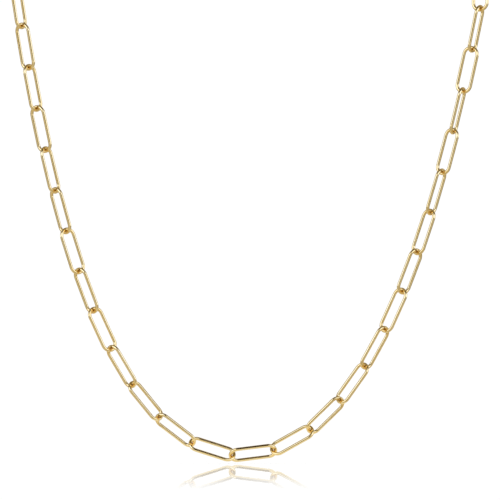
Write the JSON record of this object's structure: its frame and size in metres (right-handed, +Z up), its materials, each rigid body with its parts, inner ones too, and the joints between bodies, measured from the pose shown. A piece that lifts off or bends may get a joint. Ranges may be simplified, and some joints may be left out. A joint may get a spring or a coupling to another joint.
{
  "type": "paperclip chain necklace",
  "caption": "Fine neck chain of long round-wire links closed by a plain clasp at the nape, hanging in an open loop as when worn.",
  "frame": {"origin": "middle of the clasp at the nape, where the necklace hangs", "axes": "+X to the viewer's right across the front drop, +Y from the front drop to the nape, +Z up"},
  "size_m": [0.1218, 0.0444, 0.157],
  "materials": {
    "gold_wire": "polished",
    "clasp_gold": "polished"
  },
  "bodies": {
    "root": {"link_01": "gold_wire", "link_02": "gold_wire", "link_03": "gold_wire", "link_04": "gold_wire", "link_05": "gold_wire", "link_06": "gold_wire", "link_07": "gold_wire", "link_08": "gold_wire", "link_09": "gold_wire", "link_10": "gold_wire", "link_11": "gold_wire", "link_12": "gold_wire", "link_13": "gold_wire", "link_14": "gold_wire", "link_15": "gold_wire", "link_16": "gold_wire", "link_17": "gold_wire", "link_18": "gold_wire", "link_19": "gold_wire", "link_20": "gold_wire", "link_21": "gold_wire", "link_22": "gold_wire", "link_23": "gold_wire", "link_24": "gold_wire", "link_25": "gold_wire", "link_26": "gold_wire", "link_27": "gold_wire", "link_28": "gold_wire", "link_29": "gold_wire", "link_30": "gold_wire", "link_31": "gold_wire", "link_32": "gold_wire", "link_33": "gold_wire", "link_34": "gold_wire", "link_35": "gold_wire", "link_36": "gold_wire", "link_37": "gold_wire", "link_38": "gold_wire", "link_39": "gold_wire", "link_40": "gold_wire", "link_41": "gold_wire", "link_42": "gold_wire", "clasp": "clasp_gold"}
  },
  "joints": []
}
